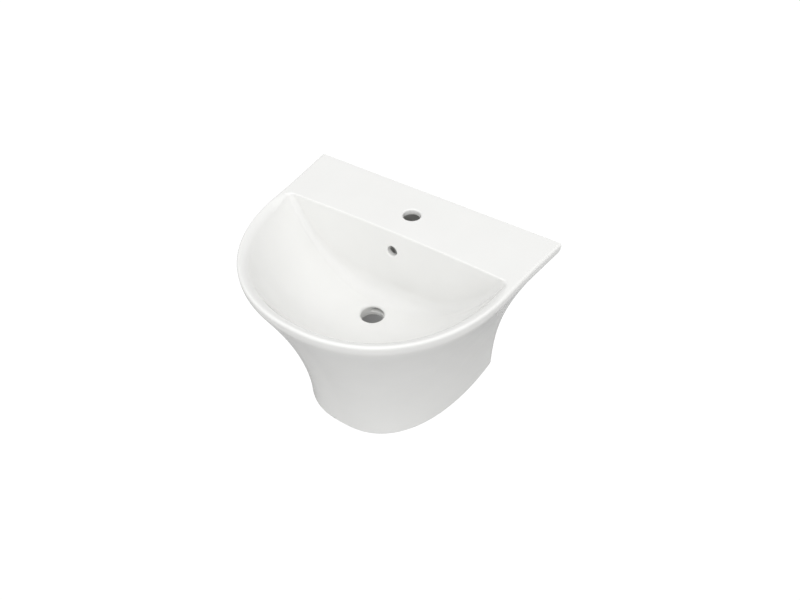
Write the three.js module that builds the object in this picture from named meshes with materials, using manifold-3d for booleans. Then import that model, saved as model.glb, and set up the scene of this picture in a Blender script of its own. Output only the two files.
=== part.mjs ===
// A wall-hung ceramic washbasin with a half pedestal fired in one piece with it, and the two
// screw fixings that hold it to the wall.
//
// Millimetres, +Z up. The wall is the plane y = 0, the front of the basin faces -Y and +X is to
// the right. The origin is on the basin's back face, midway between its two fixing holes.
import * as THREE from 'three';
import { LoftGeometry } from 'three/addons/geometries/LoftGeometry.js';
import { mergeVertices } from 'three/addons/utils/BufferGeometryUtils.js';
import Module from 'manifold-3d';

const wasm = await Module();
wasm.setup();

// ---- overall form -------------------------------------------------------------------------
const WIDTH = 560;
const DEPTH = 450;
const HEIGHT = 370;
const DECK_TOP = 95; // the deck lies this far above the fixing holes
const BASE_BOTTOM = DECK_TOP - HEIGHT;
const LIP_HEIGHT = 18; // upright edge round the deck and the rim
const EDGE_ROUND = 5;
const FLARE_POWER = 1.78; // how quickly the body draws in under the lip

// A plan outline is a straight back, two straight sides and a front that is half a superellipse.
const TOP_OUTLINE = {
  halfAtWall: WIDTH / 2,
  halfAtFront: 262,
  sideLength: 154,
  depth: DEPTH,
  roundness: 2.16,
};
const BASE_OUTLINE = {
  halfAtWall: 159,
  halfAtFront: 177,
  sideLength: 20,
  depth: 339,
  roundness: 2.5,
};

// ---- bowl ---------------------------------------------------------------------------------
const RIM_WIDTH = 15;
const BOWL_DEPTH = 153;
const BOWL_WALL = 12;
const FLOOR_RADIUS = 28; // the level ring that the dish rises from
const FLOOR_SLOPE = 0.1; // share of the rise that is an even slope; the rest curves up
const DISH_POWER = 2.6;
const BACK_WALL_Y = -145; // front edge of the deck on the centre line
const BACK_WALL_BOW = 8; // how far its ends come forward
const BACK_WALL_LEAN = 0.1; // forward travel per unit of depth

// ---- thicknesses of the casting -----------------------------------------------------------
const SHELL = 11;
const DECK_THICKNESS = 14;
const REAR_WALL = 14;
const REAR_WALL_DEPTH = 148; // from the deck down; the back is open below it

// ---- holes in the casting -----------------------------------------------------------------
const TAP = { y: -80, radius: 17.5 };
const WASTE = { y: -219, radius: 23, collarRadius: 42, collarHeight: 24, collarRise: 8 };
const OVERFLOW = { depth: 44, radius: 10.5 };
const CHANNEL = { halfWidth: 16, thickness: 12, top: 28, slotTop: 163, slotHeight: 6, skin: 8 };
const FIXING_SPACING = 280;
const FIXING_HOLE_RADIUS = 11;

// ---- fixings, from the wall outwards ------------------------------------------------------
const GAP = 0.3; // between neighbouring pieces
const BOLT = { radius: 5, inWall: 74, inRoom: 46, tip: 12, chamfer: 1.2 };
const BOLT_CLEARANCE = 0.35;
const PLUG = { radius: 7, length: 70, ridges: 9, ridgeDepth: 0.6, slit: 1.6, mouth: 9 };
const BUSH = { sleeveRadius: 10, sleeveLength: 12, flangeRadius: 16, flange: 4 };
const WASHER = { radius: 10.5, thickness: 2 };
const NUT = { acrossFlats: 17, height: 8, chamfer: 1.4 };

// ---- fineness -----------------------------------------------------------------------------
const FRONT_STEPS = 40;
const BODY_ROWS = 11;
const ROUND_STEPS = 3;
const DISH_STEPS = 48;
const DISH_ROWS = 10;
const BOW_STEPS = 9;
const HOLE_SIDES = 40;
const FIXING_SIDES = 24;
const MERGE_DISTANCE = 1e-4;

// ---- solids -------------------------------------------------------------------------------

// A closed three.js geometry as a solid that can be joined and cut.
function solidOf(geometry) {
  const bare = new THREE.BufferGeometry();
  bare.setAttribute('position', geometry.getAttribute('position'));
  bare.setIndex(geometry.getIndex());
  const merged = mergeVertices(bare, MERGE_DISTANCE);
  const corners = merged.getIndex().array;
  const triangles = [];
  for (let i = 0; i < corners.length; i += 3) {
    const [a, b, c] = corners.slice(i, i + 3);
    if (a !== b && b !== c && c !== a) triangles.push(a, b, c);
  }
  const mesh = new wasm.Mesh({
    numProp: 3,
    vertProperties: merged.getAttribute('position').array,
    triVerts: new Uint32Array(triangles),
  });
  return new wasm.Manifold(mesh);
}

function geometryOf(solid) {
  const mesh = solid.getMesh();
  const geometry = new THREE.BufferGeometry();
  geometry.setAttribute('position', new THREE.BufferAttribute(mesh.vertProperties, mesh.numProp));
  geometry.setIndex(new THREE.BufferAttribute(mesh.triVerts, 1));
  const faceted = geometry.toNonIndexed();
  faceted.computeVertexNormals();
  return faceted;
}

function boxSolid(low, high) {
  const size = high.map((value, i) => value - low[i]);
  const centre = high.map((value, i) => (value + low[i]) / 2);
  return solidOf(new THREE.BoxGeometry(...size).translate(...centre));
}

function uprightCylinder(radius, y, bottom, top) {
  const geometry = new THREE.CylinderGeometry(radius, radius, top - bottom, HOLE_SIDES);
  geometry.rotateX(Math.PI / 2).translate(0, y, (top + bottom) / 2);
  return solidOf(geometry);
}

// A cylinder square to the wall.
function levelCylinder(radius, x, z, back, front) {
  const geometry = new THREE.CylinderGeometry(radius, radius, back - front, HOLE_SIDES);
  geometry.translate(x, (back + front) / 2, z);
  return solidOf(geometry);
}

function loftSolid(sections) {
  return solidOf(new LoftGeometry(sections, { capStart: true, capEnd: true }));
}

// A profile of [y, z] points made into a slab that runs from -halfWidth to +halfWidth in x.
function slabSolid(profile, halfWidth) {
  const shape = new THREE.Shape(profile.map(([y, z]) => new THREE.Vector2(y, z)));
  const geometry = new THREE.ExtrudeGeometry(shape, { depth: 2 * halfWidth, bevelEnabled: false });
  // The shape's x and y become the slab's y and z, and its depth becomes x.
  const turn = new THREE.Matrix4().makeBasis(
    new THREE.Vector3(0, 1, 0),
    new THREE.Vector3(0, 0, 1),
    new THREE.Vector3(1, 0, 0),
  );
  return solidOf(geometry.applyMatrix4(turn).translate(-halfWidth, 0, 0));
}

// A ring or rod turned about the Y axis from [radius, y] points.
function turned(profile) {
  return solidOf(new THREE.LatheGeometry(profile.map(([r, y]) => new THREE.Vector2(r, y)), FIXING_SIDES));
}

// ---- outer form ---------------------------------------------------------------------------

const signedPower = (value, power) => Math.sign(value) * Math.abs(value) ** power;

// The plan outline at a height: the top one down to the lip, then drawn in towards the base.
function outlineAt(z) {
  const below = Math.max(0, DECK_TOP - LIP_HEIGHT - z);
  const drawnIn = 1 - (1 - Math.min(1, below / (HEIGHT - LIP_HEIGHT))) ** FLARE_POWER;
  const outline = {};
  for (const key of Object.keys(TOP_OUTLINE)) {
    outline[key] = THREE.MathUtils.lerp(TOP_OUTLINE[key], BASE_OUTLINE[key], drawnIn);
  }
  return outline;
}

function bodySection(z, inset, backY) {
  const { halfAtWall, halfAtFront, sideLength, depth, roundness } = outlineAt(z);
  const points = [
    new THREE.Vector3(halfAtWall - inset, backY, z),
    new THREE.Vector3(inset - halfAtWall, backY, z),
  ];
  for (let i = 0; i <= FRONT_STEPS; i++) {
    const angle = Math.PI * (1 + i / FRONT_STEPS);
    const x = (halfAtFront - inset) * signedPower(Math.cos(angle), 2 / roundness);
    const forward = (depth - inset - sideLength) * Math.abs(Math.sin(angle)) ** (2 / roundness);
    points.push(new THREE.Vector3(x, -sideLength - forward, z));
  }
  return points;
}

function bodyHeights(bottom, top) {
  return Array.from({ length: BODY_ROWS + 1 }, (_, i) => THREE.MathUtils.lerp(bottom, top, i / BODY_ROWS));
}

function outerForm() {
  const sections = bodyHeights(BASE_BOTTOM, DECK_TOP - LIP_HEIGHT).map((z) => bodySection(z, 0, 0));
  for (let i = 0; i <= ROUND_STEPS; i++) {
    const angle = (Math.PI / 2) * (i / ROUND_STEPS);
    const z = DECK_TOP - EDGE_ROUND * (1 - Math.sin(angle));
    sections.push(bodySection(z, EDGE_ROUND * (1 - Math.cos(angle)), 0));
  }
  return loftSolid(sections);
}

// ---- bowl ---------------------------------------------------------------------------------

// The share of the bowl's depth climbed at a place between the floor ring (0) and the rim (1).
const climb = (out) => FLOOR_SLOPE * out + (1 - FLOOR_SLOPE) * out ** DISH_POWER;

// One ring of the dish. The dish goes on behind the deck's edge, as if the bowl were a whole oval.
function dishRing(out, grow, z) {
  const { halfAtFront, sideLength, depth, roundness } = TOP_OUTLINE;
  const halfWidth = halfAtFront - RIM_WIDTH + grow;
  const halfLength = depth - sideLength - RIM_WIDTH + grow;
  const ring = [];
  for (let i = 0; i < DISH_STEPS; i++) {
    const angle = (2 * Math.PI * i) / DISH_STEPS;
    const floorX = FLOOR_RADIUS * Math.cos(angle);
    const floorY = WASTE.y + FLOOR_RADIUS * Math.sin(angle);
    const rimX = halfWidth * signedPower(Math.cos(angle), 2 / roundness);
    const rimY = halfLength * signedPower(Math.sin(angle), 2 / roundness) - sideLength;
    const x = THREE.MathUtils.lerp(floorX, rimX, out);
    ring.push(new THREE.Vector3(x, THREE.MathUtils.lerp(floorY, rimY, out), z));
  }
  return ring;
}

function dish(grow) {
  const rings = [];
  for (let i = 0; i <= DISH_ROWS; i++) {
    const out = i / DISH_ROWS;
    rings.push(dishRing(out, grow, DECK_TOP - (BOWL_DEPTH + grow) * (1 - climb(out))));
  }
  rings.push(dishRing(1, grow, DECK_TOP + LIP_HEIGHT));
  return loftSolid(rings);
}

// Everything in front of the bowl's back wall, which is bowed in plan and leans a little forward.
function inFrontOfBackWall(grow) {
  const farSide = WIDTH;
  const section = (z) => {
    const y = BACK_WALL_Y + grow - BACK_WALL_LEAN * (DECK_TOP - z);
    const points = [];
    for (let i = 0; i <= BOW_STEPS; i++) {
      const across = 1 - (2 * i) / BOW_STEPS;
      points.push(new THREE.Vector3((across * WIDTH) / 2, y - BACK_WALL_BOW * across ** 2, z));
    }
    points.push(new THREE.Vector3(-farSide, -2 * DEPTH, z));
    points.push(new THREE.Vector3(farSide, -2 * DEPTH, z));
    return points;
  };
  return loftSolid([section(BASE_BOTTOM), section(DECK_TOP + HEIGHT)]);
}

const bowlForm = (grow) => dish(grow).intersect(inFrontOfBackWall(grow));

// ---- overflow channel ---------------------------------------------------------------------

// The back of the bowl's back wall, on the centre line.
const backOfBowlWall = (depthBelowDeck) => BACK_WALL_Y + BOWL_WALL - BACK_WALL_LEAN * depthBelowDeck;

// Down behind the bowl from the overflow hole, then forward under its floor to the waste hole.
// With a skin it is the ceramic round the channel, which also reaches half way into the bowl's wall.
function channelSolid(skin, halfWidth) {
  const { thickness, top, slotTop, slotHeight } = CHANNEL;
  const intoBowl = skin ? BOWL_WALL / 2 : 0;
  const back = backOfBowlWall(top) + thickness + skin;
  const floor = slotTop + slotHeight + skin;
  const elbow = slotTop - thickness;
  const end = WASTE.y + (skin ? 0 : WASTE.radius / 2);
  const profile = [
    [backOfBowlWall(top) - intoBowl, top - skin],
    [backOfBowlWall(elbow) - intoBowl, elbow - intoBowl],
    [backOfBowlWall(elbow) - thickness, slotTop - intoBowl],
    [end, slotTop - intoBowl],
    [end, floor],
    [back - thickness, floor],
    [back, floor - 2 * thickness],
    [back, top - skin],
  ];
  return slabSolid(profile.map(([y, depth]) => [y, DECK_TOP - depth]), halfWidth);
}

// ---- the casting --------------------------------------------------------------------------

function hollowUnderDeck() {
  const beyondWall = SHELL;
  const bottom = BASE_BOTTOM - SHELL;
  const heights = [bottom, ...bodyHeights(BASE_BOTTOM, DECK_TOP - LIP_HEIGHT), DECK_TOP - DECK_THICKNESS];
  const inside = loftSolid(heights.map((z) => bodySection(z, SHELL, beyondWall)));
  const rearWall = boxSolid(
    [-WIDTH / 2, -REAR_WALL, DECK_TOP - REAR_WALL_DEPTH],
    [WIDTH / 2, 2 * beyondWall, DECK_TOP],
  );
  const wasteBottom = DECK_TOP - BOWL_DEPTH - WASTE.collarHeight;
  const collarTop = DECK_TOP - BOWL_DEPTH - WASTE.collarRise;
  const collar = uprightCylinder(WASTE.collarRadius, WASTE.y, wasteBottom, collarTop);
  return inside
    .subtract(rearWall)
    .subtract(bowlForm(BOWL_WALL))
    .subtract(collar)
    .subtract(channelSolid(CHANNEL.skin, CHANNEL.halfWidth + CHANNEL.skin));
}

function basinBody() {
  const overflowZ = DECK_TOP - OVERFLOW.depth;
  const channelMiddle = backOfBowlWall(OVERFLOW.depth) + CHANNEL.thickness / 2;
  let body = outerForm()
    .subtract(hollowUnderDeck())
    .subtract(bowlForm(0))
    .subtract(channelSolid(0, CHANNEL.halfWidth))
    .subtract(uprightCylinder(TAP.radius, TAP.y, 0, DECK_TOP + LIP_HEIGHT))
    .subtract(uprightCylinder(WASTE.radius, WASTE.y, BASE_BOTTOM, DECK_TOP))
    .subtract(levelCylinder(OVERFLOW.radius, 0, overflowZ, channelMiddle, WASTE.y));
  for (const x of [-FIXING_SPACING / 2, FIXING_SPACING / 2]) {
    body = body.subtract(levelCylinder(FIXING_HOLE_RADIUS, x, 0, REAR_WALL, -2 * REAR_WALL));
  }
  return body;
}

// ---- fixings, each turned about its own axis, with the wall at y = 0 ----------------------

function hangerBolt() {
  const { radius, inWall, inRoom, tip, chamfer } = BOLT;
  return turned([
    [0, -inRoom],
    [radius - chamfer, -inRoom],
    [radius, chamfer - inRoom],
    [radius, inWall - tip],
    [0, inWall],
  ]);
}

function wallPlug() {
  const { radius, length, ridges, ridgeDepth, slit, mouth } = PLUG;
  const bore = BOLT.radius + BOLT_CLEARANCE;
  const profile = [
    [bore, GAP],
    [radius, GAP],
    [radius, mouth],
  ];
  const pitch = (length - mouth) / ridges;
  for (let i = 0; i < ridges; i++) {
    profile.push([radius - ridgeDepth, mouth + pitch * i + ridgeDepth]);
    profile.push([radius, mouth + pitch * (i + 1)]);
  }
  profile.push([bore, length], [bore, GAP]);
  const cut = boxSolid([-slit / 2, 2 * mouth, -2 * radius], [slit / 2, 2 * length, 2 * radius]);
  return turned(profile).subtract(cut);
}

const bushFront = -REAR_WALL - GAP - BUSH.flange;
const washerFront = bushFront - GAP - WASHER.thickness;
const nutFront = washerFront - GAP - NUT.height;

function fixingBush() {
  const bore = BOLT.radius + BOLT_CLEARANCE;
  const seat = -REAR_WALL - GAP;
  return turned([
    [bore, bushFront],
    [BUSH.flangeRadius, bushFront],
    [BUSH.flangeRadius, seat],
    [BUSH.sleeveRadius, seat],
    [BUSH.sleeveRadius, seat + BUSH.sleeveLength],
    [bore, seat + BUSH.sleeveLength],
    [bore, bushFront],
  ]);
}

function washer() {
  const bore = BOLT.radius + BOLT_CLEARANCE;
  const back = washerFront + WASHER.thickness;
  return turned([
    [bore, washerFront],
    [WASHER.radius, washerFront],
    [WASHER.radius, back],
    [bore, back],
    [bore, washerFront],
  ]);
}

function nut() {
  const { acrossFlats, height, chamfer } = NUT;
  const corner = acrossFlats / Math.sqrt(3);
  const back = nutFront + height;
  const prism = new THREE.CylinderGeometry(corner, corner, height, 6).translate(0, nutFront + height / 2, 0);
  const chamfered = turned([
    [0, nutFront],
    [corner - chamfer, nutFront],
    [corner + chamfer, nutFront + chamfer],
    [corner + chamfer, back - chamfer],
    [corner - chamfer, back],
    [0, back],
  ]);
  const bore = levelCylinder(BOLT.radius + BOLT_CLEARANCE, 0, 0, 0, 2 * nutFront);
  return solidOf(prism).intersect(chamfered).subtract(bore);
}

// ---- assembly -----------------------------------------------------------------------------

const ceramic = new THREE.MeshStandardMaterial({ color: 0xf5f5f2, roughness: 0.12, metalness: 0 });
const zincSteel = new THREE.MeshStandardMaterial({ color: 0xb4b8bb, roughness: 0.35, metalness: 1 });
const greyNylon = new THREE.MeshStandardMaterial({ color: 0x9a9d9c, roughness: 0.55, metalness: 0 });
const whiteNylon = new THREE.MeshStandardMaterial({ color: 0xe6e3da, roughness: 0.5, metalness: 0 });

function pieceOf(name, solid, material) {
  const mesh = new THREE.Mesh(geometryOf(solid), material);
  mesh.name = name;
  return mesh;
}

function fixingSet(side) {
  const set = new THREE.Group();
  set.add(
    pieceOf(`${side}_wall_plug`, wallPlug(), greyNylon),
    pieceOf(`${side}_hanger_bolt`, hangerBolt(), zincSteel),
    pieceOf(`${side}_fixing_bush`, fixingBush(), whiteNylon),
    pieceOf(`${side}_washer`, washer(), zincSteel),
    pieceOf(`${side}_nut`, nut(), zincSteel),
  );
  set.position.x = (side === 'left' ? -FIXING_SPACING : FIXING_SPACING) / 2;
  return set;
}

const basin = new THREE.Group();
basin.add(pieceOf('basin_body', basinBody(), ceramic));
basin.add(fixingSet('left'), fixingSet('right'));

export default basin;
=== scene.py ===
"""The washbasin's looks, built round its CAD part.

The ceramic body is one smooth surface: the zero level of a field in millimetres that is negative
inside the ceramic. The field is put together from plain shapes whose edges are rounded where they
meet, as a slip-cast piece's are. The wall fixings are built ring by ring about their own axes.
"""

import itertools
import math

import bpy
import numpy as np
from mathutils import Matrix, Vector

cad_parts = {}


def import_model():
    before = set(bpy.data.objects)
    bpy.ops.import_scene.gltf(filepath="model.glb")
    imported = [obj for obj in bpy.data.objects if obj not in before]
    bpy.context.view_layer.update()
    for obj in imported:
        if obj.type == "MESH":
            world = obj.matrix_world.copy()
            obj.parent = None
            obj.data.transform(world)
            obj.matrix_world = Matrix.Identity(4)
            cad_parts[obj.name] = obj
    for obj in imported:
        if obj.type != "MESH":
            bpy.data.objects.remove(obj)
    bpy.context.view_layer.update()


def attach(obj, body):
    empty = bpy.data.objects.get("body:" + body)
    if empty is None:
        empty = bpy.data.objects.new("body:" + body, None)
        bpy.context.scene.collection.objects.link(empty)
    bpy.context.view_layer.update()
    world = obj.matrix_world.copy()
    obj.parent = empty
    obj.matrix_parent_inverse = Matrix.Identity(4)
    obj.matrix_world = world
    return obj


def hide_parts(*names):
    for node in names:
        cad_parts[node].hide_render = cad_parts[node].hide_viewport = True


MM = 0.001

# ---- overall form of the ceramic, in mm, as in the CAD part -------------------------------
DECK_TOP = 95.0
HEIGHT = 370.0
BASE_BOTTOM = DECK_TOP - HEIGHT
LIP_HEIGHT = 18.0
FLARE_POWER = 1.78
TOP_PLAN = {
    "half_wall": 280.0,
    "half_front": 262.0,
    "side": 154.0,
    "depth": 450.0,
    "roundness": 2.16,
}
BASE_PLAN = {
    "half_wall": 159.0,
    "half_front": 177.0,
    "side": 20.0,
    "depth": 339.0,
    "roundness": 2.5,
}

RIM_WIDTH = 15.0
BOWL_DEPTH = 153.0
BOWL_WALL = 12.0
FLOOR_RADIUS = 28.0
FLOOR_SLOPE = 0.1
DISH_POWER = 2.6
BACK_WALL_Y = -145.0
BACK_WALL_BOW = 8.0
BACK_WALL_LEAN = 0.1

SHELL = 11.0
DECK_THICKNESS = 14.0
REAR_WALL = 14.0
REAR_WALL_DEPTH = 148.0

TAP_Y = -80.0
TAP_RADIUS = 17.5
WASTE_Y = -219.0
WASTE_RADIUS = 23.0
COLLAR_RADIUS = 42.0
COLLAR_HEIGHT = 24.0
OVERFLOW_DEPTH = 44.0
OVERFLOW_RADIUS = 10.5
DUCT_HALF_WIDTH = 16.0
DUCT_THICKNESS = 12.0
DUCT_SKIN = 8.0
DUCT_TOP = 28.0
SLOT_TOP = 163.0
SLOT_HEIGHT = 6.0
FIXING_X = 140.0
FIXING_HOLE_RADIUS = 11.0

# ---- roundings, in mm ---------------------------------------------------------------------
LIP_SOFTNESS = 8.0  # where the body starts to draw in under the lip
WAIST_SOFTNESS = 0.26  # where the straight sides meet the round front, as a share of the sides
OUTER_ROUND = 5.5
BASE_ROUND = 3.0
BACK_ROUND = 2.0
DECK_EDGE_ROUND = 2.5  # between the deck and the bowl's back wall
RIM_ROUND = 12.0  # between the rim and the dish
RIM_ROUND_REACH = 50.0  # how far in front of the deck it becomes full
CREASE_END = 9.0  # hollow between the dish and the back wall, at its ends
CREASE_MIDDLE = 34.0  # and behind the waste
CREASE_SPREAD = 150.0
CAST_ROUND = 6.0
CREVICE_ROUND = 16.0  # between the shell and the bowl's underside
CAST_EDGE = 2.0
TAP_ROUND = 3.5
WASTE_TOP_ROUND = 6.0
WASTE_BOTTOM_ROUND = 1.2
OVERFLOW_ROUND = 2.5
FIXING_ROUND = 1.0

# ---- meshing of the ceramic ---------------------------------------------------------------
CELL = 5.5
FINE_CELL = 2.0
SLOT_MARGIN = 8.0
MARGIN = 8.0
RING_ROUNDS = 7
GRADIENT_STEP = 0.02
LEAST_STEEPNESS = 0.1  # squared slope, used where the field is flatter than that
LONGEST_MOVE = CELL / 3
RELAX_ROUNDS = 3
REFINE_ROUNDS = 3
FLATNESS = 0.075  # an edge is split if its middle is further than this from the surface
INNER_FLATNESS = 0.3  # the same, inside the casting
SHORTEST_SPLIT = 1.0

# ---- wall fixings, in mm, as in the CAD part ----------------------------------------------
GAP = 0.3
BOLT_RADIUS = 5.0
BOLT_IN_WALL = 74.0
BOLT_IN_ROOM = 46.0
BOLT_BORE = 5.35
BOLT_COLLAR = 8.0  # plain length on each side of the wall's face
BOLT_COLLAR_INSET = 0.15
BOLT_POINT = 12.0
BOLT_POINT_SHARE = 0.04  # of the full radius, at the very tip
BOLT_END_CHAMFER = 1.2
WOOD_PITCH = 4.5
WOOD_CORE = 3.6
WOOD_RINGS = 14  # rings to one turn of the thread
METRIC_PITCH = 1.5
METRIC_CORE = 4.15
METRIC_RINGS = 8
PLUG_RADIUS = 7.0
PLUG_BORE = BOLT_BORE + 0.05
PLUG_LENGTH = 70.0
PLUG_RIDGES = 9
PLUG_MOUTH = 9.0
PLUG_MOUTH_CHAMFER = (0.2, 0.4)  # radially and along the plug
PLUG_GROOVE = 0.9  # how deep the step at the foot of each ridge is
PLUG_GROOVE_WALL = 0.6
PLUG_CREST = 0.5
PLUG_CREST_ROUND = 0.1
PLUG_SLIT = 1.6
BUSH_SLEEVE_RADIUS = 10.0
BUSH_SLEEVE_LENGTH = 12.0
BUSH_FLANGE_RADIUS = 16.0
BUSH_FLANGE = 4.0
BUSH_ROUND = 0.7
WASHER_RADIUS = 10.5
WASHER_THICKNESS = 2.0
WASHER_ROUND = 0.3
NUT_FLATS = 17.0
NUT_HEIGHT = 8.0
NUT_CHAMFER = 1.4
NUT_CHAMFER_RINGS = 4
NUT_CHAMFER_REACH = 1.5  # how far the cone goes on, in chamfers, so that it clears the corners
NUT_MOUTH = 0.6  # countersink at each end of the bore
NUT_THREAD = 0.5
RING_SIDES = 48
CORNER_STEPS = 4


# ---- the field: joining and cutting shapes ------------------------------------------------


def soft_ramp(value, width):
    """max(value, 0) with its corner rounded over about width."""
    return (value + np.sqrt(value * value + width * width)) / 2


def both(a, b, radius):
    """The part inside both shapes, with the edge where they meet rounded to radius."""
    over_a = np.maximum(a + radius, 0)
    over_b = np.maximum(b + radius, 0)
    return np.minimum(np.maximum(a, b), -radius) + np.hypot(over_a, over_b)


def cut(a, b, radius):
    """Shape a without shape b."""
    return both(a, -b, radius)


def joined(a, b, radius):
    """Either shape, with the corner between them filled to radius."""
    return -both(-a, -b, radius)


# ---- the field: outer form ----------------------------------------------------------------


def plan_at(z):
    """The plan outline's sizes at a height, between the top's and the base's."""
    below = soft_ramp(DECK_TOP - LIP_HEIGHT - z, LIP_SOFTNESS)
    left = np.maximum(0, 1 - below / (HEIGHT - LIP_HEIGHT))
    drawn_in = 1 - left**FLARE_POWER
    return {key: top + (BASE_PLAN[key] - top) * drawn_in for key, top in TOP_PLAN.items()}


def outer_side(x, y, z):
    """Negative inside the body's plan outline at that height."""
    plan = plan_at(z)
    side, power = plan["side"], plan["roundness"]
    softness = WAIST_SOFTNESS * side
    towards_wall = soft_ramp(y + side, softness) / soft_ramp(side, softness)
    half = plan["half_front"] + (plan["half_wall"] - plan["half_front"]) * towards_wall
    forward = np.maximum(0, -y - side) / (plan["depth"] - side)
    across = np.abs(x) / half
    return half * ((across**power + forward**power) ** (1 / power) - 1)


# ---- the field: bowl ----------------------------------------------------------------------


def dish_ring(x, y):
    """Which ring of the dish passes through a place, from 0 at the floor to 1 at the rim, and how
    quickly that grows across the place, per mm."""
    rim_width = TOP_PLAN["half_front"] - RIM_WIDTH
    rim_length = TOP_PLAN["depth"] - TOP_PLAN["side"] - RIM_WIDTH
    widening = rim_width - FLOOR_RADIUS
    lengthening = rim_length - FLOOR_RADIUS
    shift = -TOP_PLAN["side"] - WASTE_Y
    innermost, outermost = -0.1, 2.0
    tiny = 1e-6
    out = np.full(np.broadcast(x, y).shape, innermost)
    for _ in range(RING_ROUNDS):
        width = FLOOR_RADIUS + widening * out
        length = FLOOR_RADIUS + lengthening * out
        power = 2 + (TOP_PLAN["roundness"] - 2) * out
        ahead = y - WASTE_Y - shift * out
        across = (np.abs(x) + tiny) / width
        along = (np.abs(ahead) + tiny) / length
        size = (across**power + along**power) ** (1 / power)
        scale = size ** (1 - power)
        change_x = scale * across ** (power - 1) / width
        change_y = scale * along ** (power - 1) / length
        outward_x = across * widening
        outward_y = along * lengthening + np.sign(ahead) * shift
        change_out = -(change_x * outward_x + change_y * outward_y)
        out = np.clip(out - size * (size - 1) / change_out, innermost, outermost)
    return out, np.hypot(change_x, change_y) / np.abs(change_out)


def dish(x, y, z):
    """Negative in the open space above the dish, which goes on beyond the rim."""
    out, growth = dish_ring(x, y)
    beyond = np.maximum(out, 0)
    climb = FLOOR_SLOPE * out + (1 - FLOOR_SLOPE) * beyond**DISH_POWER
    steepness = FLOOR_SLOPE + (1 - FLOOR_SLOPE) * DISH_POWER * beyond ** (DISH_POWER - 1)
    surface = DECK_TOP - BOWL_DEPTH * (1 - climb)
    return (surface - z) / np.hypot(1, BOWL_DEPTH * steepness * growth)


def back_wall(x, y, z):
    """Negative in front of the bowl's back wall."""
    bow = BACK_WALL_BOW * (x / TOP_PLAN["half_wall"]) ** 2
    face = BACK_WALL_Y - bow - BACK_WALL_LEAN * (DECK_TOP - z)
    return (y - face) / math.hypot(1, BACK_WALL_LEAN)


def bowl(x, y, z):
    """Negative in the bowl's open space. The crease is widest behind the waste."""
    middle = np.exp(-((x / CREASE_SPREAD) ** 2))
    crease = CREASE_END + (CREASE_MIDDLE - CREASE_END) * middle
    return both(dish(x, y, z), back_wall(x, y, z), crease)


def bowl_edge_round(y):
    """How rounded the bowl's upper edge is: crisp along the deck and soft round the rim."""
    share = np.clip((BACK_WALL_Y - BACK_WALL_BOW - y) / RIM_ROUND_REACH, 0, 1)
    return DECK_EDGE_ROUND + (RIM_ROUND - DECK_EDGE_ROUND) * share


# ---- the field: inside of the casting -----------------------------------------------------


def bowl_back(depth):
    """Where the back of the bowl's back wall is, along y, at a depth below the deck."""
    return BACK_WALL_Y + BOWL_WALL - BACK_WALL_LEAN * depth


def duct(x, y, z):
    """The overflow's way down behind the bowl and forward under it to the waste hole."""
    depth = DECK_TOP - z
    wall_back = bowl_back(depth)
    leg = np.abs(y - wall_back - DUCT_THICKNESS / 2) - DUCT_THICKNESS / 2
    leg = np.maximum(leg, np.maximum(DUCT_TOP - depth, depth - SLOT_TOP - SLOT_HEIGHT))
    slot = np.maximum(SLOT_TOP - depth, depth - SLOT_TOP - SLOT_HEIGHT)
    slot = np.maximum(slot, np.maximum(WASTE_Y - y, y - wall_back - DUCT_THICKNESS))
    return np.maximum(np.minimum(leg, slot), np.abs(x) - DUCT_HALF_WIDTH)


def duct_skin(x, y, z, duct_space):
    """The ceramic round the duct, with the corner between its two legs and the bowl filled."""
    depth = DECK_TOP - z
    corner = np.maximum(y - bowl_back(depth), depth - SLOT_TOP)
    corner = np.maximum(np.abs(x) - DUCT_HALF_WIDTH - DUCT_SKIN, corner)
    return np.minimum(duct_space - DUCT_SKIN, corner)


def hollow(x, y, z, bowl_space, duct_space):
    """The open space inside the casting, open at the bottom and at the back."""
    from_axis = np.hypot(x, y - WASTE_Y)
    collar = np.maximum(from_axis - COLLAR_RADIUS, DECK_TOP - BOWL_DEPTH - COLLAR_HEIGHT - z)
    rear = joined(y + REAR_WALL, z - DECK_TOP + REAR_WALL_DEPTH, CAST_EDGE)
    space = both(outer_side(x, y, z) + SHELL, z - DECK_TOP + DECK_THICKNESS, CAST_ROUND)
    space = both(space, rear, CAST_ROUND)
    space = cut(space, bowl_space - BOWL_WALL, CREVICE_ROUND)
    space = cut(space, collar, CAST_ROUND)
    return cut(space, duct_skin(x, y, z, duct_space), CAST_ROUND / 2)


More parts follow.
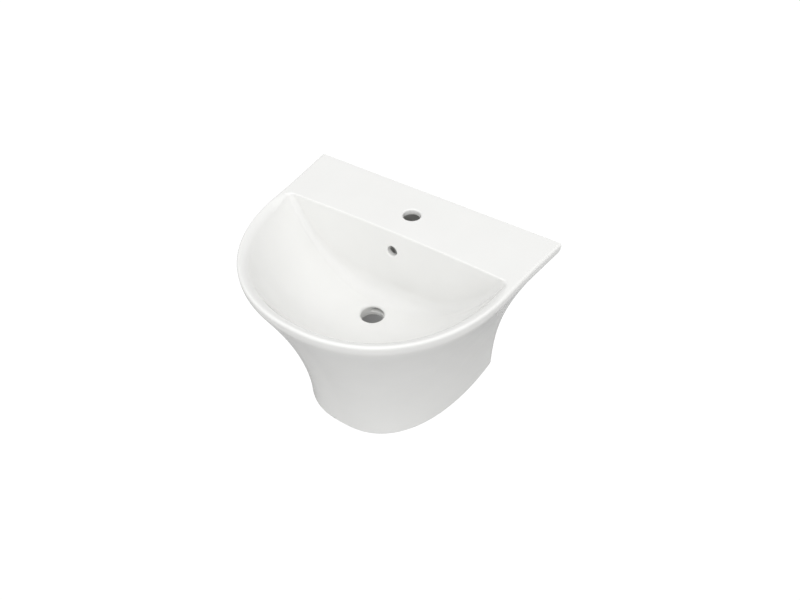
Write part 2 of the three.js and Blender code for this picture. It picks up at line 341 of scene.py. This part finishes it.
def body(x, y, z):
    """Negative inside the ceramic."""
    bowl_space = bowl(x, y, z)
    duct_space = duct(x, y, z)
    ceramic = both(outer_side(x, y, z), z - DECK_TOP, OUTER_ROUND)
    ceramic = both(ceramic, BASE_BOTTOM - z, BASE_ROUND)
    ceramic = both(ceramic, y, BACK_ROUND)
    ceramic = cut(ceramic, bowl_space, bowl_edge_round(y))
    ceramic = cut(ceramic, hollow(x, y, z, bowl_space, duct_space), CAST_EDGE)
    ceramic = cut(ceramic, duct_space, WASTE_BOTTOM_ROUND)

    tap_hole = np.hypot(x, y - TAP_Y) - TAP_RADIUS
    ceramic = cut(ceramic, tap_hole, TAP_ROUND)

    above_waste = z > DECK_TOP - BOWL_DEPTH - COLLAR_HEIGHT / 2
    waste_round = np.where(above_waste, WASTE_TOP_ROUND, WASTE_BOTTOM_ROUND)
    ceramic = cut(ceramic, np.hypot(x, y - WASTE_Y) - WASTE_RADIUS, waste_round)

    duct_middle = bowl_back(OVERFLOW_DEPTH) + DUCT_THICKNESS / 2
    overflow = np.hypot(x, z - DECK_TOP + OVERFLOW_DEPTH) - OVERFLOW_RADIUS
    overflow = np.maximum(overflow, np.maximum(y - duct_middle, WASTE_Y - y))
    ceramic = cut(ceramic, overflow, OVERFLOW_ROUND)

    fixing_hole = np.hypot(np.abs(x) - FIXING_X, z) - FIXING_HOLE_RADIUS
    return cut(ceramic, np.maximum(fixing_hole, -2 * REAR_WALL - y), FIXING_ROUND)


# ---- the field's surface as triangles -----------------------------------------------------


def steps(low, high, size):
    """Evenly spaced values from low to high, at most size apart."""
    return np.linspace(low, high, 1 + math.ceil((high - low) / size))


def grid_lines():
    """Grid lines along x, y and z, closer together at the height of the overflow's slot."""
    half = TOP_PLAN["half_wall"] + MARGIN
    slot_low = DECK_TOP - SLOT_TOP - SLOT_HEIGHT - SLOT_MARGIN
    slot_high = DECK_TOP - SLOT_TOP + SLOT_MARGIN
    heights = [
        steps(BASE_BOTTOM - MARGIN, slot_low, CELL),
        steps(slot_low, slot_high, FINE_CELL)[1:],
        steps(slot_high, DECK_TOP + MARGIN, CELL)[1:],
    ]
    across = steps(-half, half, CELL)
    along = steps(-TOP_PLAN["depth"] - MARGIN, MARGIN, CELL)
    return across, along, np.concatenate(heights)


def surface_net(lines, value):
    """One corner in each cell that the surface passes through, and a quad round each grid edge
    that it crosses, as two triangles."""
    inside = value < 0
    cells = tuple(n - 1 for n in value.shape)
    total = np.zeros(cells + (3,))
    count = np.zeros(cells)
    crossings = []
    for axis in range(3):
        here = [slice(None)] * 3
        there = [slice(None)] * 3
        here[axis] = slice(None, -1)
        there[axis] = slice(1, None)
        here, there = tuple(here), tuple(there)
        found = np.nonzero(inside[here] != inside[there])
        share = value[here][found] / (value[here][found] - value[there][found])
        place = [lines[k][found[k]] for k in range(3)]
        place[axis] = place[axis] + share * (lines[axis][found[axis] + 1] - place[axis])
        place = np.stack(place, 1)
        across, up = (axis + 1) % 3, (axis + 2) % 3
        around = []
        for step_across, step_up in ((1, 1), (0, 1), (0, 0), (1, 0)):
            cell = [f.copy() for f in found]
            cell[across] -= step_across
            cell[up] -= step_up
            np.add.at(total, tuple(cell), place)
            np.add.at(count, tuple(cell), 1)
            around.append(np.ravel_multi_index(cell, cells))
        crossings.append((np.stack(around, 1), inside[here][found]))
    used = np.flatnonzero(count)
    points = total.reshape(-1, 3)[used] / count.reshape(-1)[used, None]
    number = np.full(count.size, -1)
    number[used] = np.arange(len(used))
    quads = [np.where(out[:, None], number[ring], number[ring[:, ::-1]]) for ring, out in crossings]
    quads = np.concatenate(quads)
    return points, np.concatenate([quads[:, [0, 1, 2]], quads[:, [0, 2, 3]]])


def field_at(points):
    return body(points[:, 0], points[:, 1], points[:, 2])


def slope_at(points):
    """The field's gradient."""
    slope = np.empty_like(points)
    for axis in range(3):
        ahead = points.copy()
        behind = points.copy()
        ahead[:, axis] += GRADIENT_STEP
        behind[:, axis] -= GRADIENT_STEP
        slope[:, axis] = (field_at(ahead) - field_at(behind)) / (2 * GRADIENT_STEP)
    return slope


def normals_at(points):
    slope = slope_at(points)
    return slope / np.linalg.norm(slope, axis=1)[:, None]


def pulled_to_surface(points, rounds):
    """Corners moved along the field's gradient until they lie on its surface."""
    for _ in range(rounds):
        slope = slope_at(points)
        steepness = np.maximum((slope**2).sum(1), LEAST_STEEPNESS)
        move = np.clip(field_at(points) / steepness, -LONGEST_MOVE, LONGEST_MOVE)
        points = points - move[:, None] * slope
    return points


def edges_of(triangles, corners):
    """Each edge once, and the three edge numbers of each triangle."""
    ends = np.stack([triangles, np.roll(triangles, -1, 1)], 2).reshape(-1, 2)
    ends.sort(1)
    keys, numbers = np.unique(ends[:, 0] * corners + ends[:, 1], return_inverse=True)
    return np.stack([keys // corners, keys % corners], 1), numbers.reshape(-1, 3)


def relaxed(points, triangles):
    """Corners moved along the surface towards the middle of their neighbours."""
    edges, _ = edges_of(triangles, len(points))
    count = np.bincount(edges.ravel(), minlength=len(points))
    middle = np.empty_like(points)
    for axis in range(3):
        to_first = np.bincount(edges[:, 0], points[edges[:, 1], axis], len(points))
        to_second = np.bincount(edges[:, 1], points[edges[:, 0], axis], len(points))
        middle[:, axis] = (to_first + to_second) / count
    normal = normals_at(points)
    move = (middle - points) / 2
    return points + move - (move * normal).sum(1)[:, None] * normal


def flatness_at(points):
    """How far an edge's middle may be from the surface, which is more inside the casting."""
    x, y, z = points.T
    from_hollow = hollow(x, y, z, bowl(x, y, z), duct(x, y, z))
    return np.where(from_hollow < SHELL / 2, INNER_FLATNESS, FLATNESS)


def refined(points, triangles):
    """Triangles split at the middle of each edge that strays from the surface."""
    edges, sides = edges_of(triangles, len(points))
    middles = points[edges].mean(1)
    length = np.linalg.norm(points[edges[:, 0]] - points[edges[:, 1]], axis=1)
    marked = (np.abs(field_at(middles)) > flatness_at(middles)) & (length > SHORTEST_SPLIT)
    number = np.full(len(edges), -1)
    number[marked] = len(points) + np.arange(marked.sum())
    points = np.concatenate([points, middles[marked]])

    made = []
    halves = number[sides]
    split = (halves >= 0).sum(1)
    made.append(triangles[split == 0])
    for count in (1, 2):
        chosen = np.flatnonzero(split == count)
        # Turned so that a single split edge comes first, or a single whole edge last.
        if count == 1:
            first = np.argmax(halves[chosen] >= 0, 1)
        else:
            first = (np.argmax(halves[chosen] < 0, 1) + 1) % 3
        turn = (first[:, None] + np.arange(3)) % 3
        a, b, c = np.take_along_axis(triangles[chosen], turn, 1).T
        ab, bc, _ = np.take_along_axis(halves[chosen], turn, 1).T
        if count == 1:
            made += [np.stack([a, ab, c], 1), np.stack([ab, b, c], 1)]
        else:
            made += [np.stack([a, ab, bc], 1), np.stack([ab, b, bc], 1), np.stack([a, bc, c], 1)]
    a, b, c = triangles[split == 3].T
    ab, bc, ca = halves[split == 3].T
    made += [np.stack(t, 1) for t in ((a, ab, ca), (ab, b, bc), (ca, bc, c), (ab, bc, ca))]
    return points, np.concatenate(made)


def ceramic_surface():
    """The ceramic's corners, triangles and normals."""
    lines = grid_lines()
    value = body(*np.meshgrid(*lines, indexing="ij", sparse=True))
    points, triangles = surface_net(lines, value)
    points = pulled_to_surface(points, 3)
    for _ in range(RELAX_ROUNDS):
        points = pulled_to_surface(relaxed(points, triangles), 2)
    for _ in range(REFINE_ROUNDS):
        points, triangles = refined(points, triangles)
        points = pulled_to_surface(points, 2)
    points = pulled_to_surface(relaxed(points, triangles), 3)
    return points, triangles, normals_at(points)


# ---- meshes -------------------------------------------------------------------------------


def mesh_object(name, points, faces):
    """A mesh from corners in mm."""
    mesh = bpy.data.meshes.new(name)
    mesh.from_pydata((np.asarray(points) * MM).tolist(), [], [tuple(face) for face in faces])
    mesh.update()
    made = bpy.data.objects.new(name, mesh)
    bpy.context.scene.collection.objects.link(made)
    return made


def shade(made, crisp_above=None):
    made.data.shade_smooth()
    if crisp_above is not None:
        made.data.set_sharp_from_angle(angle=math.radians(crisp_above))


def dress(made, body_name, node, material):
    made.data.materials.append(material)
    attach(made, body_name)
    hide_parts(node)


def ceramic_body(material):
    points, triangles, normals = ceramic_surface()
    made = mesh_object("ceramic_body", points, triangles)
    shade(made)
    made.data.normals_split_custom_set_from_vertices(normals.tolist())
    dress(made, "basin", "basin_body", material)
    return made


# ---- fixings, each built about its own axis and then moved to its hole --------------------


def ring_points(y, radius):
    """A ring about the Y axis. The radius is one number, or one for each side."""
    angle = 2 * math.pi * np.arange(RING_SIDES) / RING_SIDES
    radius = np.broadcast_to(radius, angle.shape)
    return np.stack([radius * np.cos(angle), np.full(RING_SIDES, y), radius * np.sin(angle)], 1)


def joined_rings(name, rings, closed, covered=True):
    """Rings joined one to the next. A closed piece also joins the last ring to the first, and a
    covered one that isn't closed has a face over each end."""
    sides = len(rings[0])
    count = len(rings)
    pairs = count if closed else count - 1
    faces = []
    for row in range(pairs):
        low, high = row * sides, (row + 1) % count * sides
        for i in range(sides):
            j = (i + 1) % sides
            faces.append((low + i, low + j, high + j, high + i))
    if covered and not closed:
        faces.append(tuple(range(sides))[::-1])
        faces.append(tuple(range((count - 1) * sides, count * sides)))
    return mesh_object(name, np.concatenate(rings), faces)


def thread_radius(y, pitch, core, crest):
    """The radius round a ring where a single-start thread passes it. The thread's crest, its root
    and each of its flanks take a quarter of the pitch."""
    turn = np.arange(RING_SIDES) / RING_SIDES
    phase = (y / pitch + turn) % 1
    height = np.clip(1.5 - np.abs(4 * phase - 2), 0, 1)
    return core + (crest - core) * height


def bolt_radius(y):
    """Wood thread in the wall, a plain collar at the wall, and a metric thread in the room."""
    if y > BOLT_COLLAR:
        point = [BOLT_IN_WALL - BOLT_POINT, BOLT_IN_WALL]
        narrowed = np.interp(y, point, [1, BOLT_POINT_SHARE])
        return thread_radius(y, WOOD_PITCH, WOOD_CORE, BOLT_RADIUS) * narrowed
    if y > -BOLT_COLLAR:
        return BOLT_RADIUS - BOLT_COLLAR_INSET
    chamfer = [-BOLT_IN_ROOM, -BOLT_IN_ROOM + BOLT_END_CHAMFER]
    end = np.interp(y, chamfer, [BOLT_RADIUS - BOLT_END_CHAMFER, BOLT_RADIUS])
    return np.minimum(thread_radius(y, METRIC_PITCH, METRIC_CORE, BOLT_RADIUS), end)


def hanger_bolt(name):
    room = np.arange(-BOLT_IN_ROOM, -BOLT_COLLAR, METRIC_PITCH / METRIC_RINGS)
    wall = np.arange(-BOLT_COLLAR, BOLT_IN_WALL, WOOD_PITCH / WOOD_RINGS)
    rows = [*room, *wall, BOLT_IN_WALL]
    return joined_rings(name, [ring_points(y, bolt_radius(y)) for y in rows[::-1]], False)


def profile_piece(name, profile):
    """A ring turned from [radius, y] points."""
    return joined_rings(name, [ring_points(y, radius) for radius, y in profile], True)


def rounded(corners, radius):
    """A closed profile with each of its corners rounded."""
    made = []
    count = len(corners)
    for i in range(count):
        before, here, after = (np.array(corners[k % count], float) for k in (i - 1, i, i + 1))
        back = (before - here) / np.linalg.norm(before - here)
        on = (after - here) / np.linalg.norm(after - here)
        for k in range(CORNER_STEPS + 1):
            share = k / CORNER_STEPS
            start = here + back * radius * (1 - share) ** 2
            made.append(tuple(start + on * radius * share**2))
    return made


def carved(made, low, high):
    """The piece with a box cut out of it, in mm."""
    corners = list(itertools.product(*zip(low, high)))
    faces = [(0, 1, 3, 2), (4, 6, 7, 5), (0, 4, 5, 1), (2, 3, 7, 6), (0, 2, 6, 4), (1, 5, 7, 3)]
    cutter = mesh_object("cutter", corners, faces)
    modifier = made.modifiers.new("cut", "BOOLEAN")
    modifier.operation = "DIFFERENCE"
    modifier.solver = "EXACT"
    modifier.object = cutter
    bpy.context.view_layer.update()
    evaluated = made.evaluated_get(bpy.context.evaluated_depsgraph_get())
    result = bpy.data.meshes.new_from_object(evaluated)
    made.modifiers.clear()
    made.data = result
    bpy.data.objects.remove(cutter)
    return made


def wall_plug(name):
    chamfer, chamfer_length = PLUG_MOUTH_CHAMFER
    profile = [
        (PLUG_BORE, GAP),
        (PLUG_RADIUS - chamfer, GAP),
        (PLUG_RADIUS, GAP + chamfer_length),
        (PLUG_RADIUS, PLUG_MOUTH),
    ]
    pitch = (PLUG_LENGTH - PLUG_MOUTH) / PLUG_RIDGES
    for i in range(PLUG_RIDGES):
        start = PLUG_MOUTH + pitch * i
        profile.append((PLUG_RADIUS - PLUG_GROOVE, start + PLUG_GROOVE_WALL))
        profile.append((PLUG_RADIUS - PLUG_CREST_ROUND, start + pitch - PLUG_CREST))
        profile.append((PLUG_RADIUS, start + pitch - PLUG_CREST_ROUND))
    profile.append((PLUG_BORE, PLUG_LENGTH))
    made = profile_piece(name, profile)
    half = PLUG_SLIT / 2
    slit_low = (-half, 2 * PLUG_MOUTH, -2 * PLUG_RADIUS)
    slit_high = (half, 2 * PLUG_LENGTH, 2 * PLUG_RADIUS)
    return carved(made, slit_low, slit_high)


def fixing_bush(name):
    seat = -REAR_WALL - GAP
    front = seat - BUSH_FLANGE
    inner_end = seat + BUSH_SLEEVE_LENGTH
    corners = [
        (BOLT_BORE, front),
        (BOLT_BORE, inner_end),
        (BUSH_SLEEVE_RADIUS, inner_end),
        (BUSH_SLEEVE_RADIUS, seat),
        (BUSH_FLANGE_RADIUS, seat),
        (BUSH_FLANGE_RADIUS, front),
    ]
    return profile_piece(name, rounded(corners[::-1], BUSH_ROUND))


def washer(name):
    back = -REAR_WALL - 2 * GAP - BUSH_FLANGE
    corners = [
        (BOLT_BORE, back - WASHER_THICKNESS),
        (WASHER_RADIUS, back - WASHER_THICKNESS),
        (WASHER_RADIUS, back),
        (BOLT_BORE, back),
    ]
    return profile_piece(name, rounded(corners, WASHER_ROUND))


def nut(name):
    back = -REAR_WALL - 3 * GAP - BUSH_FLANGE - WASHER_THICKNESS
    front = back - NUT_HEIGHT
    corner = NUT_FLATS / math.sqrt(3)
    angle = 2 * math.pi * np.arange(RING_SIDES) / RING_SIDES
    sixth = math.pi / 3
    hexagon = NUT_FLATS / 2 / np.cos((angle + sixth / 2) % sixth - sixth / 2)
    face, mouth = corner - NUT_CHAMFER, BOLT_BORE + NUT_MOUTH
    chamfer = []
    for step in range(1, NUT_CHAMFER_RINGS + 1):
        share = step / NUT_CHAMFER_RINGS
        cone = face + NUT_CHAMFER_REACH * NUT_CHAMFER * share
        chamfer.append((NUT_CHAMFER / 2 * share, np.minimum(hexagon, cone)))
    rings = [ring_points(front, mouth), ring_points(front, face)]
    rings += [ring_points(front + inset, radius) for inset, radius in chamfer]
    rings += [ring_points(back - inset, radius) for inset, radius in reversed(chamfer)]
    rings += [ring_points(back, face), ring_points(back, mouth)]
    crest, root = BOLT_BORE, BOLT_BORE + NUT_THREAD
    for y in np.arange(back - NUT_MOUTH, front + NUT_MOUTH, -METRIC_PITCH / METRIC_RINGS):
        rings.append(ring_points(y, thread_radius(y, METRIC_PITCH, crest, root)))
    return joined_rings(name, rings, True)


def fixings(materials):
    # Name, builder, body it rides on, material, and the angle in degrees that keeps an edge crisp.
    pieces = (
        ("wall_plug", wall_plug, "basin", "grey_nylon", 40),
        ("hanger_bolt", hanger_bolt, "basin", "zinc_steel", 60),
        ("fixing_bush", fixing_bush, "basin", "white_nylon", 40),
        ("washer", washer, "{side}_washer_body", "zinc_steel", 40),
        ("nut", nut, "{side}_nut_body", "zinc_steel", 32),
    )
    for side, x in (("left", -FIXING_X), ("right", FIXING_X)):
        for part, build, body_name, slot_name, crisp in pieces:
            made = build(f"{side}_{part}_look")
            made.data.transform(Matrix.Translation((x * MM, 0, 0)))
            shade(made, crisp)
            rides_on = body_name.format(side=side)
            dress(made, rides_on, f"{side}_{part}", materials[slot_name])


# ---- materials ----------------------------------------------------------------------------

GLAZE_DARKER = (0.82, 0.82, 0.806)
GLAZE_LIGHTER = (0.84, 0.84, 0.826)
GLAZE_ROUGHNESS = (0.07, 0.11)
GLAZE_WAVES = 0.00012  # bump heights are in metres
GLAZE_PEEL = 0.000003
GLAZE_INDEX = 1.52
GLAZE_FULL = 1.2  # distance from an unglazed face where the glaze is whole, in mm
GLAZE_GONE = 0.6  # and where it has ended
CLAY_DARKER = (0.62, 0.58, 0.5)
CLAY_LIGHTER = (0.72, 0.69, 0.62)
CLAY_ROUGHNESS = 0.75
ZINC_BLUER = (0.56, 0.58, 0.6)
ZINC_YELLOWER = (0.7, 0.69, 0.66)
ZINC_ROUGHNESS = (0.24, 0.42)
ZINC_LINES = 0.00002
TURNING_STRETCH = (60, 1400, 60)  # noise squeezed along the axis into turning lines
NYLON_ROUGHNESS = (0.42, 0.58)
NYLON_TEXTURE = 0.00003
NYLON_TRANSLUCENCY = 0.15
NYLON_DEPTH = 0.002  # how far light spreads inside it, in metres
GREY_NYLON = ((0.3, 0.31, 0.31), (0.36, 0.37, 0.37))
WHITE_NYLON = ((0.8, 0.78, 0.72), (0.86, 0.84, 0.79))
MOST_NOISE = (0.3, 0.7)  # the values that a noise mostly lies between
MIDDLE_NOISE = (0.35, 0.65)


class Nodes:
    """A material's node tree, with short ways to add to it."""

    def __init__(self, name):
        self.material = bpy.data.materials.new(name)
        self.material.use_nodes = True
        self.tree = self.material.node_tree
        self.shader = self.tree.nodes["Principled BSDF"]

    def add(self, kind, **values):
        node = self.tree.nodes.new(kind)
        for key, value in values.items():
            setattr(node, key, value)
        return node

    def link(self, out, into):
        self.tree.links.new(out, into)

    def place(self):
        return self.add("ShaderNodeTexCoord").outputs["Object"]

    def noise(self, where, scale, detail):
        node = self.add("ShaderNodeTexNoise")
        node.inputs["Scale"].default_value = scale
        node.inputs["Detail"].default_value = detail
        self.link(where, node.inputs["Vector"])
        return node.outputs["Fac"]

    def spread(self, value, span, result=(0, 1)):
        """The value's span stretched to the result's."""
        node = self.add("ShaderNodeMapRange")
        node.inputs["From Min"].default_value, node.inputs["From Max"].default_value = span
        node.inputs["To Min"].default_value, node.inputs["To Max"].default_value = result
        self.link(value, node.inputs["Value"])
        return node.outputs["Result"]

    def mix(self, share, a, b):
        node = self.add("ShaderNodeMix", data_type="RGBA")
        self.link(share, node.inputs["Factor"])
        for value, socket in ((a, node.inputs["A"]), (b, node.inputs["B"])):
            if isinstance(value, tuple):
                socket.default_value = (*value, 1)
            else:
                self.link(value, socket)
        return node.outputs["Result"]

    def bump(self, height, distance, over=None):
        node = self.add("ShaderNodeBump")
        node.inputs["Distance"].default_value = distance
        node.inputs["Strength"].default_value = 1
        self.link(height, node.inputs["Height"])
        if over is not None:
            self.link(over, node.inputs["Normal"])
        return node.outputs["Normal"]


def glazed_ceramic():
    """White glaze: glossy, a little uneven, and left off the back face and the base's edge."""
    n = Nodes("glazed_ceramic")
    where = n.place()
    axes = n.add("ShaderNodeSeparateXYZ")
    n.link(where, axes.inputs["Vector"])
    back_span = (-GLAZE_FULL * MM, -GLAZE_GONE * MM)
    base_span = ((BASE_BOTTOM + GLAZE_FULL) * MM, (BASE_BOTTOM + GLAZE_GONE) * MM)
    bare = n.add("ShaderNodeMath", operation="MAXIMUM")
    n.link(n.spread(axes.outputs["Y"], back_span), bare.inputs[0])
    n.link(n.spread(axes.outputs["Z"], base_span), bare.inputs[1])
    bare = bare.outputs["Value"]

    cloud = n.spread(n.noise(where, scale=9, detail=3), MOST_NOISE)
    glaze = n.mix(cloud, GLAZE_DARKER, GLAZE_LIGHTER)
    grain = n.spread(n.noise(where, scale=420, detail=4), MIDDLE_NOISE)
    clay = n.mix(grain, CLAY_DARKER, CLAY_LIGHTER)
    n.link(n.mix(bare, glaze, clay), n.shader.inputs["Base Color"])

    gloss = n.spread(n.noise(where, scale=30, detail=3), MOST_NOISE, GLAZE_ROUGHNESS)
    roughness = n.add("ShaderNodeMix", data_type="FLOAT")
    n.link(bare, roughness.inputs["Factor"])
    n.link(gloss, roughness.inputs["A"])
    roughness.inputs["B"].default_value = CLAY_ROUGHNESS
    n.link(roughness.outputs["Result"], n.shader.inputs["Roughness"])

    waves = n.bump(n.noise(where, scale=26, detail=1), GLAZE_WAVES)
    peel = n.bump(n.noise(where, scale=320, detail=2), GLAZE_PEEL, over=waves)
    n.link(peel, n.shader.inputs["Normal"])
    n.shader.inputs["IOR"].default_value = GLAZE_INDEX
    return n.material


def zinc_steel():
    """Bright zinc plate: faint turning lines round the axis and patches of passivation."""
    n = Nodes("zinc_steel")
    where = n.place()
    squeezed = n.add("ShaderNodeMapping")
    squeezed.inputs["Scale"].default_value = TURNING_STRETCH
    n.link(where, squeezed.inputs["Vector"])
    lines = n.noise(squeezed.outputs["Vector"], scale=1, detail=3)
    patches = n.spread(n.noise(where, scale=90, detail=3), MIDDLE_NOISE)
    n.link(n.mix(patches, ZINC_BLUER, ZINC_YELLOWER), n.shader.inputs["Base Color"])
    n.link(n.spread(lines, MOST_NOISE, ZINC_ROUGHNESS), n.shader.inputs["Roughness"])
    n.link(n.bump(lines, ZINC_LINES), n.shader.inputs["Normal"])
    n.shader.inputs["Metallic"].default_value = 1
    return n.material


def nylon(name, shades):
    """Moulded nylon: slightly see-through, with a spark-eroded texture."""
    n = Nodes(name)
    where = n.place()
    darker, lighter = shades
    cloud = n.spread(n.noise(where, scale=70, detail=3), MOST_NOISE)
    n.link(n.mix(cloud, darker, lighter), n.shader.inputs["Base Color"])
    texture = n.noise(where, scale=1800, detail=3)
    n.link(n.spread(texture, MOST_NOISE, NYLON_ROUGHNESS), n.shader.inputs["Roughness"])
    n.link(n.bump(texture, NYLON_TEXTURE), n.shader.inputs["Normal"])
    n.shader.inputs["Subsurface Weight"].default_value = NYLON_TRANSLUCENCY
    n.shader.inputs["Subsurface Scale"].default_value = NYLON_DEPTH
    return n.material


# ---- stage --------------------------------------------------------------------------------

FLOOR_GAP = 0.2  # below the base, in mm
FLOOR_HALF_SIZE = 15000.0
FLOOR_DARKER = (0.5, 0.5, 0.5)
FLOOR_LIGHTER = (0.54, 0.54, 0.54)
FLOOR_ROUGHNESS = 0.9
BACKDROP_GLOW = 1.05
BACKDROP_INSET = 5.0  # how far under the base's edge the backdrop's opening starts
BACKDROP_SIDES = 96
SKY_LOW = 0.5
SKY_HIGH = 1.54
LIGHT_FROM = (0.28, -0.43, 0.87)
LIGHT_EDGES = (0.12, 0.93)  # cosines from LIGHT_FROM between which the light grows to full
CAMERA_PLACE = (0.6291, -1.0681, 0.9642)  # in metres, as its aim is
CAMERA_AIM = (0.0451, -0.1890, -0.0220)
CAMERA_LENS = 33.74  # in mm, as its sensor is
SENSOR_WIDTH = 36


def floor():
    half, z = FLOOR_HALF_SIZE, BASE_BOTTOM - FLOOR_GAP
    corners = [(-half, -half, z), (half, -half, z), (half, half, z), (-half, half, z)]
    made = mesh_object("floor", corners, [(0, 1, 2, 3)])
    n = Nodes("studio_floor")
    cloud = n.noise(n.place(), scale=1.5, detail=2)
    n.link(n.mix(cloud, FLOOR_DARKER, FLOOR_LIGHTER), n.shader.inputs["Base Color"])
    n.shader.inputs["Roughness"].default_value = FLOOR_ROUGHNESS
    made.data.materials.append(n.material)


def backdrop():
    """A white sheet on the floor, open where the pedestal stands, that only the camera sees."""
    angle = 2 * np.pi * np.arange(BACKDROP_SIDES) / BACKDROP_SIDES
    across, along = np.cos(angle), np.sin(angle)
    bend = 2 / BASE_PLAN["roundness"]
    length = BASE_PLAN["depth"] - BASE_PLAN["side"] - BACKDROP_INSET
    front_x = (BASE_PLAN["half_front"] - BACKDROP_INSET) * np.sign(across) * np.abs(across) ** bend
    front_y = -BASE_PLAN["side"] - length * np.abs(along) ** bend
    back_x = (BASE_PLAN["half_wall"] - BACKDROP_INSET) * np.sign(across)
    in_front = along <= 0
    height = np.full(BACKDROP_SIDES, BASE_BOTTOM - FLOOR_GAP / 2)
    inner_x = np.where(in_front, front_x, back_x)
    inner_y = np.where(in_front, front_y, 0)
    inner = np.stack([inner_x, inner_y, height], 1)
    outer = np.stack([FLOOR_HALF_SIZE * across, FLOOR_HALF_SIZE * along, height], 1)
    made = joined_rings("backdrop", [outer, inner], False, covered=False)
    n = Nodes("backdrop")
    n.shader.inputs["Base Color"].default_value = (0, 0, 0, 1)
    n.shader.inputs["Specular IOR Level"].default_value = 0
    n.shader.inputs["Emission Color"].default_value = (1, 1, 1, 1)
    n.shader.inputs["Emission Strength"].default_value = BACKDROP_GLOW
    made.data.materials.append(n.material)
    made.visible_diffuse = False
    made.visible_glossy = False
    made.visible_transmission = False
    made.visible_shadow = False


def sky():
    """Soft light from all round, brightest from above the camera's side."""
    world = bpy.data.worlds.new("studio")
    bpy.context.scene.world = world
    world.use_nodes = True
    nodes, links = world.node_tree.nodes, world.node_tree.links
    background = nodes["Background"]
    where = nodes.new("ShaderNodeTexCoord")
    towards = nodes.new("ShaderNodeVectorMath")
    towards.operation = "DOT_PRODUCT"
    towards.inputs[1].default_value = Vector(LIGHT_FROM).normalized()
    light = nodes.new("ShaderNodeMapRange")
    light.interpolation_type = "SMOOTHSTEP"
    light.inputs["From Min"].default_value, light.inputs["From Max"].default_value = LIGHT_EDGES
    light.inputs["To Min"].default_value = SKY_LOW
    light.inputs["To Max"].default_value = SKY_HIGH
    links.new(where.outputs["Generated"], towards.inputs[0])
    links.new(towards.outputs["Value"], light.inputs["Value"])
    links.new(light.outputs["Result"], background.inputs["Strength"])
    background.inputs["Color"].default_value = (1, 1, 1, 1)


def camera():
    data = bpy.data.cameras.new("camera")
    data.lens = CAMERA_LENS
    data.sensor_width = SENSOR_WIDTH
    made = bpy.data.objects.new("camera", data)
    made.location = CAMERA_PLACE
    made.rotation_euler = (Vector(CAMERA_AIM) - made.location).to_track_quat("-Z", "Y").to_euler()
    bpy.context.scene.collection.objects.link(made)
    bpy.context.scene.camera = made


def main():
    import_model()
    materials = {
        "zinc_steel": zinc_steel(),
        "grey_nylon": nylon("grey_nylon", GREY_NYLON),
        "white_nylon": nylon("white_nylon", WHITE_NYLON),
    }
    ceramic_body(glazed_ceramic())
    fixings(materials)
    floor()
    backdrop()
    sky()
    camera()
    bpy.context.scene.view_settings.view_transform = "Standard"


main()
